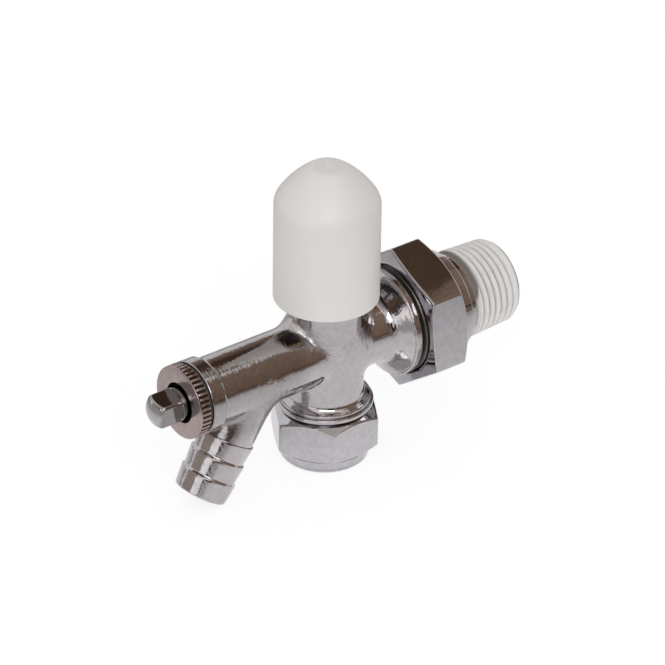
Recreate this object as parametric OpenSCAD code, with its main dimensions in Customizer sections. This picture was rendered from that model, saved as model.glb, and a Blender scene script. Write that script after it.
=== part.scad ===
// Angle pattern lockshield radiator valve with a drain-off cock.
// Lengths are in millimetres. The pipe and spindle axis is Z, the radiator tail
// leaves along +X and the drain arm along -X. The origin is the centre of the
// pipe opening in the bottom face of the compression nut.
// Threads are plain cylinders at their major size, with a running gap between.

/* [Valve body] */
// Height of the radiator and drain axis above the pipe opening
axis_h = 29.1; // [28.9:0.1:29.5]
// Diameter of the upright barrel
barrel_d = 18.3; // [18:0.1:18.8]
// Diameter of the neck that leads to the radiator
neck_d = 16.6; // [16:0.1:17]
// Radius of the fillet between barrel and drain arm
arm_fillet = 4; // [3:0.1:4.5]
// Bore of the socket that takes the copper pipe
pipe_bore_d = 15.2; // [15.1:0.05:15.3]

/* [Lockshield cap] */
// Outside diameter of the cap
cap_d = 25; // [24.8:0.1:25.6]
// Height of the cap's rim above the pipe opening
cap_rim = 42.9; // [42:0.1:43.5]
// Height of the cap from rim to crown
cap_length = 34.9; // [34:0.1:37]
// Wall of the cap
cap_wall = 1.45; // [1.4:0.05:1.5]

/* [Union and radiator tail] */
// Width of the union nut across its flats
union_af = 31.2; // [30.8:0.1:31.6]
// Distance from the pipe axis to the end of the radiator tail
tail_reach = 51; // [49:0.5:54]
// Diameter over the sealed radiator thread
tail_thread_d = 21.3; // [21.2:0.05:21.5]

/* [Compression joint] */
// Width of the compression nut across its flats
comp_af = 23.6; // [23.4:0.1:24]
// Height of the compression nut
comp_h = 13.5; // [13:0.1:13.6]

/* [Drain cock] */
// Diameter of the drain arm
arm_d = 16.2; // [16:0.1:16.8]
// Distance from the pipe axis to the end face of the drain arm
arm_reach = 38.75; // [38:0.25:40]
// Diameter over the knurl of the gland nut
knurl_d = 17.9; // [17.5:0.1:18.2]
// Number of teeth in the knurl
knurl_teeth = 44; // [36:1:48]
// Width of the spindle's square across its flats
square_af = 6.3; // [6:0.1:6.6]

/* [Hose barb] */
// Distance from the pipe axis to where the barb leaves the drain axis
barb_x = 19.8; // [19:0.1:20.5]
// Slope of the barb below the horizontal
barb_angle = 58.3; // [57:0.1:60]
// Length of the barb from the drain axis to its mouth
barb_length = 31.8; // [31:0.1:31.9]
// Diameter over the barb's serrations
barb_d = 13.6; // [13.2:0.1:13.7]
// Distance from one serration to the next
barb_pitch = 5; // [4.5:0.1:5.1]

/* [Hidden] */

$fn = 96;
run_gap = 0.06;          // running gap between mating threads and shafts
eps = 0.5;               // overlap of a cutting tool past the face it cuts

chrome = [0.80, 0.79, 0.78];
raw_brass = [0.80, 0.65, 0.35];
white_plastic = [0.93, 0.92, 0.90];
seal_white = [0.95, 0.95, 0.93];
black_rubber = [0.10, 0.10, 0.10];
red_fibre = [0.45, 0.16, 0.12];

barrel_r = barrel_d / 2;
neck_r = neck_d / 2;
arm_r = arm_d / 2;
pipe_r = pipe_bore_d / 2;

// Body heights along Z
spigot_low = 5.4;        // end face of the threaded pipe spigot
shoulder_low = 14.1;     // underside of the shoulder above the nut
pipe_stop = 17.6;        // step that the pipe end meets
seat_z = 21.5;           // face of the main seat
body_top = 46;           // top face of the barrel

// Body lengths along X
flange_x = 17;           // edge of the bell where it meets the flange
outlet_x = 27.2;         // end face of the radiator outlet
union_x = 20;            // near face of the union nut

half_inch_r = 10.42;     // thread of the pipe spigot
three_quarter_r = 13.22; // thread of the radiator outlet
bonnet_thread_r = 7;
chamber_r = 6.6;

// Running pieces
stem_r = 4.1;            // drain spindle where it leaves the gland nut
gland_thread_r = 6.5;
drain_thread_r = 5.2;

// Points along an arc, both ends included
function arc(cx, cy, r, from, to, steps = 8) =
  [for (i = [0:steps]) let (a = from + (to - from) * i / steps)
    [cx + r * cos(a), cy + r * sin(a)]];

// Turned solid from a closed [radius, height] outline
module turned(outline) {
  rotate_extrude() polygon(outline);
}

// Child frames: a child's own +Z becomes +X, -X, or the run of the barb
module on_radiator_axis() {
  translate([0, 0, axis_h]) rotate([0, 90, 0]) children();
}
module on_drain_axis() {
  translate([0, 0, axis_h]) rotate([0, -90, 0]) children();
}
module on_barb_axis() {
  translate([-barb_x, 0, axis_h]) rotate([0, -90 - barb_angle, 0]) children();
}

// Round hole from one height to another
module hole(r, low, high) {
  translate([0, 0, low]) cylinder(r = r, h = high - low);
}

// Ring with a round section
module o_ring(mid_r, section_r, z) {
  translate([0, 0, z]) rotate_extrude() translate([mid_r, 0]) circle(r = section_r, $fn = 32);
}

// Hexagon whose corners are cut by a turned outline
module hex_blank(af, low, high, outline) {
  intersection() {
    translate([0, 0, low]) cylinder(d = af / cos(30), h = high - low, $fn = 6);
    turned(outline);
  }
}

// Quarter bend that leads a round branch up or down into the barrel. Its inner
// side is the fillet that the casting has between the branch and the barrel.
module branch_fillet(branch_r, fillet, side, up) {
  tube_r = branch_r - 0.2;
  bend = branch_r + fillet;
  translate([side * (barrel_r + fillet), 0, axis_h + up * bend])
    rotate([90, 0, 0])
      rotate([0, 0, side > 0 ? (up > 0 ? 180 : 90) : (up > 0 ? 270 : 0)])
        rotate_extrude(angle = 90) translate([bend, 0]) circle(r = tube_r, $fn = 64);
}

// Barrel with the pipe spigot and the stepped shoulder over the nut
module barrel_outline() {
  polygon(concat(
    [[0, spigot_low], [half_inch_r - 0.8, spigot_low], [half_inch_r, spigot_low + 0.8],
     [half_inch_r, shoulder_low], [11.3, shoulder_low], [11.5, shoulder_low + 0.25],
     [11.5, shoulder_low + 0.8], [11.2, shoulder_low + 1.05],
     [10.75, shoulder_low + 1.1], [10.75, shoulder_low + 1.4],
     [11, shoulder_low + 1.5], [10.9, shoulder_low + 1.85]],
    arc(barrel_r + 1.7, shoulder_low + 3.6, 1.7, 270, 180, 6),
    [[barrel_r, body_top - 0.4], [barrel_r - 0.4, body_top], [0, body_top]]));
}

// Neck that opens like a bell to the flange, the thread relief and the thread
module outlet_outline() {
  bell = 2.6;
  rim_r = three_quarter_r;
  polygon(concat(
    [[0, 0], [neck_r, 0]],
    arc(neck_r + bell, flange_x - 4.4, bell, 180, 123, 5),
    [[rim_r - 0.35, flange_x - 0.05], [rim_r, flange_x + 0.25], [rim_r, flange_x + 1.6],
     [12.3, flange_x + 1.85], [12.3, flange_x + 2.2], [rim_r, flange_x + 2.45],
     [rim_r, outlet_x - 1], [rim_r - 1, outlet_x], [0, outlet_x]]));
}

// Drain arm with the turned collar at its end
module arm_outline() {
  collar_r = 8.95;
  polygon(concat(
    [[0, 0], [arm_r, 0]],
    arc(arm_r + 1.2, arm_reach - 4.6, 1.2, 180, 112, 5),
    [[collar_r, arm_reach - 3.2], [collar_r, arm_reach - 0.3],
     [collar_r - 0.3, arm_reach], [0, arm_reach]]));
}

// Hose barb: each serration has its sharp edge towards the drain arm
module barb_outline() {
  crest = barb_d / 2;
  root = crest - 0.4;
  first = barb_length - 3 * barb_pitch;
  polygon(concat(
    [[0, 2]],
    [[crest + 0.2, 2], [root + 0.1, 9.5], [root, first]],
    [for (i = [0:2]) each [[crest, first + i * barb_pitch + 0.1],
                           [crest, first + i * barb_pitch + 0.5],
                           [root, first + (i + 1) * barb_pitch - 0.3]]],
    [[root - 0.3, barb_length], [0, barb_length]]));
}

module valve_body_waterways() {
  // pipe socket, its mouth cone for the olive, the inlet and the chamber
  hole(pipe_r, spigot_low - eps, pipe_stop);
  translate([0, 0, spigot_low - 0.01]) cylinder(r1 = 9.35, r2 = pipe_r, h = 3.6);
  hole(5, pipe_stop - eps, seat_z + eps);
  difference() {
    hole(chamber_r, seat_z - 1, body_top - 8);
    hole(6, seat_z - 2, seat_z);
  }
  hole(bonnet_thread_r + 0.03, body_top - 9.5, body_top + eps);
  // radiator side, with the cone that the tail seats in
  on_radiator_axis() {
    hole(5.5, 0, outlet_x + eps);
    translate([0, 0, outlet_x - 2.8]) cylinder(r1 = 7, r2 = 9.6, h = 2.81);
  }
  // drain side: seat, thread, gland recess and the bore of the barb
  on_drain_axis() {
    hole(3, 0, 15);
    hole(drain_thread_r + run_gap, 14, arm_reach + eps);
    hole(gland_thread_r + run_gap, arm_reach - 6, arm_reach + eps);
  }
  on_barb_axis() hole(4.25, 0, barb_length + eps);
}

module valve_body() {
  color(chrome) difference() {
    union() {
      rotate_extrude() barrel_outline();
      on_radiator_axis() rotate_extrude() outlet_outline();
      on_drain_axis() rotate_extrude() arm_outline();
      on_barb_axis() rotate_extrude() barb_outline();
      branch_fillet(arm_r, arm_fillet, -1, 1);
      branch_fillet(neck_r, 2.5, 1, 1);
      branch_fillet(neck_r, 1.8, 1, -1);
    }
    valve_body_waterways();
  }
}

// Headwork: hexagon over the barrel, thread below, guide for the spindle
bonnet_low = body_top - 9;
bonnet_hex = body_top + 0.8;
bonnet_top = bonnet_hex + 8.4;
module bonnet() {
  color(raw_brass) difference() {
    union() {
      hole(bonnet_thread_r, bonnet_low, bonnet_hex + 1);
      hex_blank(19, bonnet_hex, bonnet_hex + 5,
        [[0, bonnet_hex], [10.2, bonnet_hex], [10.97, bonnet_hex + 0.5],
         [10.97, bonnet_hex + 4.3], [9.6, bonnet_hex + 5], [0, bonnet_hex + 5]]);
      turned([[0, bonnet_hex + 4], [6.6, bonnet_hex + 4], [6.6, bonnet_top - 0.6],
              [6, bonnet_top], [0, bonnet_top]]);
    }
    hole(5.2 + run_gap, bonnet_low - eps, bonnet_hex);
    hole(stem_r + run_gap, bonnet_low, bonnet_top + eps);
  }
}

module bonnet_washer() {
  color(red_fibre) difference() {
    hole(8.9, body_top + 0.02, bonnet_hex - 0.02);
    hole(bonnet_thread_r + 0.15, body_top - eps, bonnet_hex + eps);
  }
}

// White moulded cap that hides the spindle. It grips the bonnet's corners.
module lockshield_cap() {
  r = cap_d / 2;
  crown = cap_rim + cap_length;
  dome_z = crown - 0.25 - r;
  bore = r - cap_wall;
  inner = bore - 1.1;
  step_z = 62.5;
  // the outside turns in through a tight shoulder, a long flank and a tight crown
  shoulder_r = 4.7;
  flank_r = 26;
  crown_r = 3.3;
  flank_from = 33.5;
  flank_to = 55;
  shoulder = [r - shoulder_r, crown - 10.4];
  flank = shoulder - (flank_r - shoulder_r) * [cos(flank_from), sin(flank_from)];
  top = flank + (flank_r - crown_r) * [cos(flank_to), sin(flank_to)];
  color(white_plastic) turned(concat(
    [[bore + 0.35, cap_rim], [r - 0.35, cap_rim], [r, cap_rim + 0.35]],
    arc(shoulder[0], shoulder[1], shoulder_r, 0, flank_from, 6),
    [for (p = arc(flank[0], flank[1], flank_r, flank_from, flank_to, 10)) each
      p[0] < r - shoulder_r * (1 - cos(flank_from)) - 0.1 ? [p] : []],
    [for (p = arc(top[0], top[1], crown_r, flank_to, 90, 6)) each
      p[0] < top[0] + crown_r * cos(flank_to) - 0.1 ? [p] : []],
    [[2.5, crown - 0.2], [2.2, crown - 0.05], [1.2, crown - 0.1], [0.7, crown - 0.3],
     [0.45, crown - 0.1], [0, crown], [0, dome_z + inner]],
    arc(0, dome_z, inner, 89, 0, 16),
    [[inner, step_z + 0.8], [bore, step_z], [bore, cap_rim + 0.5]]));
}

// Jumper that carries the rubber washer, with the nut that holds it
disc_low = seat_z + 2.1;
module valve_disc() {
  color(raw_brass) turned([[0, seat_z - 1.1], [1.5, seat_z - 1.1], [1.5, disc_low],
    [5.9, disc_low], [5.9, disc_low + 0.7], [5.4, disc_low + 1.2], [3.2, disc_low + 1.6],
    [2, disc_low + 2], [2, disc_low + 7], [1.6, disc_low + 7.4], [0, disc_low + 7.4]]);
}

module seat_washer() {
  color(black_rubber) difference() {
    hole(5.8, seat_z + 0.02, disc_low - 0.02);
    hole(3.2, seat_z - eps, seat_z + 0.72);
    hole(1.55, seat_z, disc_low + eps);
  }
}

module washer_nut() {
  color(raw_brass) difference() {
    translate([0, 0, seat_z - 0.9]) cylinder(d = 5 / cos(30), h = 1.58, $fn = 6);
    hole(1.53, seat_z - 2, seat_z + 1);
  }
}

// Lockshield spindle: square top, two seal grooves, thread, jumper socket
spindle_low = disc_low + 2.1;
spindle_top = bonnet_top + 5.5;
ring_low_z = bonnet_hex + 1.2;
ring_high_z = bonnet_hex + 3.1;
module valve_spindle() {
  groove_r = stem_r - 1;
  half = 0.62;
  color(raw_brass) difference() {
    turned([[0, spindle_low], [3.6, spindle_low], [3.9, spindle_low + 0.3],
      [3.9, bonnet_low + 0.2], [5.2, bonnet_low + 0.6], [5.2, bonnet_low + 4.8],
      [stem_r, bonnet_low + 5], [stem_r, ring_low_z - half], [groove_r, ring_low_z - half],
      [groove_r, ring_low_z + half], [stem_r, ring_low_z + half],
      [stem_r, ring_high_z - half], [groove_r, ring_high_z - half],
      [groove_r, ring_high_z + half], [stem_r, ring_high_z + half],
      [stem_r, spindle_top - 0.5], [stem_r - 0.5, spindle_top], [0, spindle_top]]);
    hole(2 + run_gap, spindle_low - eps, spindle_low + 6);
    for (a = [0:90:270]) rotate([0, 0, a])
      translate([3, -5, bonnet_top + 0.6]) cube([4, 10, 6]);
  }
}

module spindle_o_ring_lower() {
  color(black_rubber) o_ring(stem_r - 0.46, 0.5, ring_low_z);
}

module spindle_o_ring_upper() {
  color(black_rubber) o_ring(stem_r - 0.46, 0.5, ring_high_z);
}

// Radiator tail: seating nose, flange held by the union nut, thread, key socket
thread_x = 37;
module radiator_tail() {
  thread_r = tail_thread_d / 2 - 0.2;
  color(chrome) on_radiator_axis() difference() {
    turned([[0, outlet_x - 2.6], [6.7, outlet_x - 2.6], [9.3, outlet_x + 0.2],
      [9.3, outlet_x + 1], [12.6, outlet_x + 1], [12.95, outlet_x + 1.3],
      [12.95, outlet_x + 3.2], [12.2, outlet_x + 3.7], [10.9, outlet_x + 3.7],
      [10.9, thread_x - 0.4], [10.7, thread_x - 0.1], [9.9, thread_x],
      [9.9, thread_x + 0.35], [thread_r, thread_x + 0.5],
      [thread_r, tail_reach - 0.8], [thread_r - 0.75, tail_reach], [0, tail_reach]]);
    hole(6, outlet_x - 3, tail_reach - 9);
    translate([0, 0, tail_reach - 10]) cylinder(d = 12 / cos(30), h = 10 + eps, $fn = 6);
  }
}

// White sealing strip that the thread comes wrapped in
module thread_seal() {
  r = tail_thread_d / 2;
  color(seal_white) on_radiator_axis() difference() {
    turned([[0, thread_x + 0.5], [r - 0.1, thread_x + 0.5], [r, thread_x + 0.6],
      [r, tail_reach - 0.95], [r - 0.1, tail_reach - 0.85], [0, tail_reach - 0.85]]);
    hole(r - 0.19, thread_x, tail_reach);
  }
}

// Union nut: hexagon, chamfered back, turned boss round the tail
module union_nut() {
  corner = union_af / 2 / cos(30);
  thread_r = three_quarter_r + run_gap;
  color(chrome) on_radiator_axis() difference() {
    union() {
      rotate([0, 0, -7]) hex_blank(union_af, union_x, union_x + 13,
        [[0, union_x], [14.3, union_x], [corner, union_x + 0.65], [corner + 1, union_x + 0.65],
         [corner + 1, union_x + 8.4], [13.6, union_x + 11.5], [13.2, union_x + 11.8],
         [0, union_x + 11.8]]);
      turned([[0, union_x + 10], [13, union_x + 10], [12.9, union_x + 12.4],
        [12.5, union_x + 14.6], [12.1, union_x + 15.1], [11.6, union_x + 15.3],
        [0, union_x + 15.3]]);
    }
    hole(thread_r, union_x - eps, outlet_x + 3.8);
    hole(10.9 + run_gap, outlet_x, union_x + 16);
  }
}

// Soft brass ring with two tapers, squeezed on to the pipe by the nut
module olive() {
  color(raw_brass) difference() {
    turned([[0, 2.45], [8.1, 2.45], [9.1, 4.15], [9.1, 4.85], [8, 7.75], [7.8, 8.2], [0, 8.2]]);
    hole(pipe_r, 2, 9);
  }
}

// Compression nut: skirt ring below, hexagon with both ends chamfered
module compression_nut() {
  corner = comp_af / 2 / cos(30);
  color(chrome) difference() {
    union() {
      rotate([0, 0, 1]) hex_blank(comp_af, 3, comp_h,
        [[0, 3.2], [11, 3.3], [corner, 4.7], [corner + 0.1, 4.7],
         [corner + 0.1, comp_h - 1.6], [corner, comp_h - 1.6], [11, comp_h], [0, comp_h]]);
      turned(concat([[0, 0]], arc(10.1, 0.45, 0.45, 270, 352, 4), [[11.3, 4], [0, 4]]));
    }
    hole(pipe_r, -eps, 3);
    translate([0, 0, 2.3]) cylinder(r1 = pipe_r + 0.6, r2 = 9.5, h = 2.21);
    hole(half_inch_r + run_gap, 4.5, comp_h + eps);
  }
}

// Rubber disc in the spindle's cup that closes the drain seat
drain_seat_x = 14;
module drain_seat_washer() {
  color(black_rubber) on_drain_axis() hole(4.2, drain_seat_x + 0.03, drain_seat_x + 2.4);
}

// Drain spindle: washer cup, thread, stem with a seal groove, square head
cup_x = drain_seat_x + 0.9;
drain_tip = 50.5;
drain_ring_x = arm_reach - 2.9;
module drain_spindle() {
  groove_r = stem_r - 1;
  half = 0.62;
  round_r = 6;
  square_x = 43.6;
  dome = round_r - sqrt(round_r * round_r - stem_r * stem_r);
  color(chrome) on_drain_axis() difference() {
    turned(concat(
      [[0, cup_x], [4.9, cup_x], [5, cup_x + 0.2], [5, cup_x + 2.6], [3.4, cup_x + 3.4],
       [3.4, 23.2], [drain_thread_r, 24], [drain_thread_r, arm_reach - 8.25],
       [stem_r, arm_reach - 7.85],
       [stem_r, drain_ring_x - half], [groove_r, drain_ring_x - half],
       [groove_r, drain_ring_x + half], [stem_r, drain_ring_x + half]],
      arc(0, drain_tip - round_r, round_r, asin((round_r - dome) / round_r), 90, 8)));
    hole(4.25, cup_x - eps, cup_x + 1.6);
    // flats of the square, one of them turned 10 degrees from the vertical
    for (a = [-10:90:260]) rotate([0, 0, a])
      translate([square_af / 2, -6, square_x]) cube([4, 12, 10]);
  }
}

module drain_o_ring() {
  color(black_rubber) on_drain_axis() o_ring(stem_r - 0.46, 0.5, drain_ring_x);
}

module drain_gland_washer() {
  color(black_rubber) on_drain_axis() difference() {
    hole(8.3, arm_reach + 0.02, arm_reach + 0.48);
    hole(gland_thread_r + 0.1, arm_reach - eps, arm_reach + 1);
  }
}

// Straight knurl: one trapezoid tooth, repeated round the rim
module knurl_section() {
  tip = knurl_d / 2;
  root = tip - 0.45;
  step = 360 / knurl_teeth;
  polygon([for (i = [0:knurl_teeth - 1])
    for (p = [[root, 0], [root, 0.26], [tip, 0.5], [tip, 0.76]])
      [p[0] * cos((i + p[1]) * step), p[0] * sin((i + p[1]) * step)]]);
}

// Gland nut: knurled head with a smooth rim, shank that screws into the arm
module drain_gland_nut() {
  head = arm_reach + 0.5;
  face = head + 3.1;
  rim_r = knurl_d / 2 - 0.1;
  color(chrome) on_drain_axis() difference() {
    union() {
      translate([0, 0, head + 0.2]) linear_extrude(height = 2.5) knurl_section();
      turned([[0, arm_reach - 3.6], [gland_thread_r, arm_reach - 3.6], [gland_thread_r, head],
        [rim_r - 0.5, head], [rim_r - 0.4, head + 0.4], [rim_r - 0.4, head + 2.5],
        [rim_r, head + 2.6], [rim_r, face - 0.2], [rim_r - 0.25, face], [0, face]]);
    }
    hole(stem_r + run_gap, arm_reach - 5, face + eps);
    hole(4.95, face - 2, face + eps);
  }
}

valve_body();
bonnet();
bonnet_washer();
lockshield_cap();
valve_disc();
seat_washer();
washer_nut();
valve_spindle();
spindle_o_ring_lower();
spindle_o_ring_upper();
radiator_tail();
thread_seal();
union_nut();
olive();
compression_nut();
drain_seat_washer();
drain_spindle();
drain_o_ring();
drain_gland_washer();
drain_gland_nut();
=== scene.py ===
import math

import bmesh
import bpy
import numpy as np
from mathutils import Matrix, Vector


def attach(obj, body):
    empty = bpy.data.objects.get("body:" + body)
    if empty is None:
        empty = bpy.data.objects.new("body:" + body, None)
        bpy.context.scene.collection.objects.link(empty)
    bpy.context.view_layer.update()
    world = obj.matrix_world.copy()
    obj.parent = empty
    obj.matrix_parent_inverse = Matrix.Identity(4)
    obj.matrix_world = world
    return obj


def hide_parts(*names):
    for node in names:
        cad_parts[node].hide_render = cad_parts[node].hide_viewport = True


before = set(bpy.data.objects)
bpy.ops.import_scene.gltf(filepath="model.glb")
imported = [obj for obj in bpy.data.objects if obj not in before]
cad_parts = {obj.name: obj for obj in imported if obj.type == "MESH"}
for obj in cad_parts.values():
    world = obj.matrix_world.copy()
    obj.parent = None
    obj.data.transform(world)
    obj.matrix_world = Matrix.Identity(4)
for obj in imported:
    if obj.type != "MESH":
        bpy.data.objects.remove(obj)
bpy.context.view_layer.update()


# Camera. It stands at the photograph's place: a long lens a little over a
# metre away, looking down on the front left of the valve.
SENSOR_MM = 36
LENS_MM = 262.42
CAMERA_AT = (-0.59036, -0.76108, 0.63203)
CAMERA_RIGHT = (0.79406508, -0.60769037, 0.01315551)
CAMERA_UP = (0.31227019, 0.42641905, 0.84891349)
CAMERA_LOOK = (0.52148631, 0.66998449, -0.52836807)

camera_data = bpy.data.cameras.new("camera")
camera_data.sensor_width = SENSOR_MM
camera_data.lens = LENS_MM
camera_data.clip_start = 0.05
camera_data.clip_end = 20
camera = bpy.data.objects.new("camera", camera_data)
camera.matrix_world = Matrix([
    [CAMERA_RIGHT[i], CAMERA_UP[i], -CAMERA_LOOK[i], CAMERA_AT[i]] for i in range(3)
] + [[0, 0, 0, 1]])
bpy.context.scene.collection.objects.link(camera)
bpy.context.scene.camera = camera


# Valve body. One brass casting: an upright barrel, a neck that opens like a
# bell towards the radiator, a drain arm and a hose barb under it. The seats,
# bores, threads and rings are turned in it, and it is polished and chromed.
MM = 0.001
AXIS = 29.1                    # height of the radiator and drain axis
BARREL_R = 9.15
NECK_R = 8.3
ARM_R = 8.1
BARB_X = 19.8                  # where the barb leaves the drain axis
BARB_SLOPE = math.radians(58.3)
BARB_LENGTH = 31.8
FLANGE_X = 17                  # edge where the bell meets the flange
OUTLET_X = 27.2                # end face of the outlet
OUTLET_R = 13.2                # crests of its thread
SPIGOT_END = 5.4               # lower end of the spigot for the pipe
SPIGOT_R = 10.38
PIPE_R = 7.6
ARM_END = 38.75
PITCH = 1.814                  # 14 threads to the inch
BARREL_TOP = 46
FLANGE_R = 12.8
ARM_FILLET = 0.6               # where the arm was dressed, in front and below
ARM_FILLET_OVER = 2.9          # what it gains over the top and behind
CELL = 0.36                    # cubes that the casting's skin is cut from
OUTLINE_STEP = 0.05


def frame_turned(origin, angle):
    """Axes of a piece whose own Z is turned by an angle about Y: where it starts, and
    its three directions as columns."""
    c, s = math.cos(angle), math.sin(angle)
    return np.array(origin, float), np.array([[c, 0, s], [0, 1, 0], [-s, 0, c]])


UPRIGHT = frame_turned((0, 0, 0), 0)
RADIATOR = frame_turned((0, 0, AXIS), math.pi / 2)
DRAIN = frame_turned((0, 0, AXIS), -math.pi / 2)
BARB = frame_turned((-BARB_X, 0, AXIS), -math.pi / 2 - BARB_SLOPE)


def along(points, place):
    """Radius from a piece's axis and height along it, for points of the whole valve."""
    local = (points - place[0]) @ place[1]
    return np.hypot(local[..., 0], local[..., 1]), local[..., 2]


def arc(r, h, radius, start, stop, steps=8):
    """Points of an arc round (r, h): radius times cosine and sine of an angle that
    runs from start to stop degrees."""
    a = np.radians(np.linspace(start, stop, steps + 1))
    return list(zip(r + radius * np.cos(a), h + radius * np.sin(a)))


def flared(points, place, outline):
    """Distance to a round branch whose radius changes along its axis: the radius of
    the point less the outline's radius at that height, times the slope's cosine."""
    r, h = along(points, place)
    radii, heights = np.array(outline).T
    steps = np.arange(-60, 60, OUTLINE_STEP)
    slope = np.gradient(np.interp(steps, heights, radii), OUTLINE_STEP)
    steep = np.interp(h, steps, slope)
    side = (r - np.interp(h, heights, radii)) / np.hypot(1, steep)
    return np.maximum(side, np.maximum(heights[0] - h, h - heights[-1]))


def filleted(a, b, radius):
    """Two solids given as distances, joined with a rolled fillet: the larger of the
    radius and the nearer distance, less the length of what both lack to the radius."""
    return np.maximum(radius, np.minimum(a, b)) - np.hypot(
        np.maximum(radius - a, 0), np.maximum(radius - b, 0))


BARREL_LINE = [(10.6, 14.9), (10.7, 15.9), (10.45, 16.1)] + arc(
    BARREL_R + 1.6, 17.7, 1.6, 255, 180) + [(BARREL_R, 45.2)]
NECK_LINE = [(NECK_R, 0), (NECK_R, 12.6)] + arc(
    NECK_R + 2.6, FLANGE_X - 4.4, 2.6, 180, 123)[1:] + [
        (FLANGE_R, FLANGE_X - 0.08), (FLANGE_R, FLANGE_X + 0.6)]
ARM_LINE = [(ARM_R, 0), (ARM_R, ARM_END - 4.6)] + arc(
    ARM_R + 1.2, ARM_END - 4.6, 1.2, 180, 112)[1:] + [(8.9, ARM_END - 2.9)]
BARB_LINE = [(7, 0), (7, 3), (6.5, 9.5), (6.42, 16.7), (6.38, 17.9)]


def casting(points):
    """Distance to the cast body: barrel, neck with bell, drain arm and barb, each a
    round branch, joined with fillets. The drain arm's fillet is sharp below and in
    front, where the casting was dressed, and wide over the top and behind."""
    height = np.clip((points[..., 2] - AXIS) / 16 + 0.5, 0, 1)
    rise = height * height * (3 - 2 * height)
    over = np.clip((points[..., 2] - AXIS) / 6, 0, 1) * np.clip(
        (points[..., 1] + 4) / 4.5, 0, 1)
    body = flared(points, UPRIGHT, BARREL_LINE)
    neck = flared(points, RADIATOR, NECK_LINE)
    arm = filleted(flared(points, DRAIN, ARM_LINE), flared(points, BARB, BARB_LINE), 1.2)
    body = filleted(body, neck, 1.8 + 0.9 * rise)
    return filleted(body, arm, ARM_FILLET + ARM_FILLET_OVER * over)


def corner(points):
    """How far a point lies in a corner that the polishing wheel misses: one where the
    arm's or the barb's bare surface meets the next branch's, less with the distance
    from both."""
    barrel, arm = flared(points, UPRIGHT, BARREL_LINE), flared(points, DRAIN, ARM_LINE)
    barb = flared(points, BARB, BARB_LINE)
    upper = (np.clip((points[..., 2] - AXIS) / 6, 0, 1) * np.exp(
        -(np.maximum(np.abs(barrel), np.abs(arm)) / 1.9) ** 2))
    lower = np.exp(-(np.maximum(np.abs(barb), np.abs(arm)) / 1.5) ** 2)
    return np.maximum(upper, lower)


def settled(points, field, rounds=3, reach=0.02):
    """Points moved on to the surface where a field is zero: each round steps back
    along the field's slope by the field's value."""
    for _ in range(rounds):
        slope = np.stack([
            field(points + step) - field(points - step)
            for step in np.eye(3) * reach], -1) / (2 * reach)
        value = field(points) / np.maximum((slope * slope).sum(-1), 0.05)
        points = points - value[:, None] * slope
    return points


def skin(field, low, high, cell):
    """Skin of a solid given as a field: space is cut into cubes, each cube that the
    surface crosses gets one vertex at the mean of the crossings on its edges, and
    each crossed edge gets the quad of its four cubes."""
    axes = [np.arange(low[i], high[i] + cell, cell) for i in range(3)]
    grid = np.stack(np.meshgrid(*axes, indexing="ij"), -1)
    value = field(grid)
    inside = value < 0
    cubes = np.array(value.shape) - 1
    total = np.zeros(tuple(cubes) + (3,))
    count = np.zeros(tuple(cubes))
    edges = []
    for a in range(3):
        near = [slice(None)] * 3
        far = [slice(None)] * 3
        near[a], far[a] = slice(0, -1), slice(1, None)
        v0, v1 = value[tuple(near)], value[tuple(far)]
        i, j, k = np.nonzero(inside[tuple(near)] != inside[tuple(far)])
        share = v0[i, j, k] / (v0[i, j, k] - v1[i, j, k])
        crossing = grid[i, j, k].copy()
        crossing[:, a] += share * cell
        b, c = (a + 1) % 3, (a + 2) % 3
        ring = []
        for db, dc in ((0, 0), (-1, 0), (-1, -1), (0, -1)):
            at = np.stack([i, j, k], -1)
            at[:, b] += db
            at[:, c] += dc
            np.add.at(total, tuple(at.T), crossing)
            np.add.at(count, tuple(at.T), 1)
            ring.append(np.ravel_multi_index(tuple(at.T), tuple(cubes)))
        quad = np.stack(ring, -1)
        leaving = inside[tuple(near)][i, j, k]
        edges.append(np.where(leaving[:, None], quad, quad[:, ::-1]))
    used = np.nonzero(count.ravel())[0]
    number = np.full(count.size, -1)
    number[used] = np.arange(len(used))
    points = total.reshape(-1, 3)[used] / count.ravel()[used, None]
    return settled(points, field), number[np.concatenate(edges)]


def rounded(outline, steps=4):
    """Turned outline from (radius, height, fillet) corners: a corner with a fillet
    becomes an arc that leaves both its sides smoothly."""
    points = np.array(outline, float)[:, :2]
    last = len(outline) - 1
    line = []
    for i, (p, (_, _, fillet)) in enumerate(zip(points, outline)):
        if fillet == 0 or i in (0, last):
            line.append(tuple(p))
            continue
        back, on = points[i - 1] - p, points[i + 1] - p
        u, v = back / np.hypot(*back), on / np.hypot(*on)
        half = math.acos(np.clip(u @ v, -1, 1)) / 2
        reach = min(fillet / math.tan(half), 0.49 * np.hypot(*back), 0.49 * np.hypot(*on))
        fillet = reach * math.tan(half)
        centre = p + (u + v) / np.hypot(*(u + v)) * fillet / math.sin(half)
        a, b = p + u * reach - centre, p + v * reach - centre
        turn = math.acos(np.clip(a @ b / (fillet * fillet), -1, 1))
        t = np.linspace(0, 1, steps + 1)[:, None]
        line += [tuple(q) for q in centre + (
            np.sin((1 - t) * turn) * a + np.sin(t * turn) * b) / math.sin(turn)]
    return line


def round_angles(sides):
    """Equal angles once round."""
    return np.arange(sides) * 2 * np.pi / sides


def band(line, angles):
    """Outline repeated at every angle: one row of radii and heights per point."""
    r, h = np.array(line, float).T
    return np.repeat(r[:, None], len(angles), 1), np.repeat(h[:, None], len(angles), 1)


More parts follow.
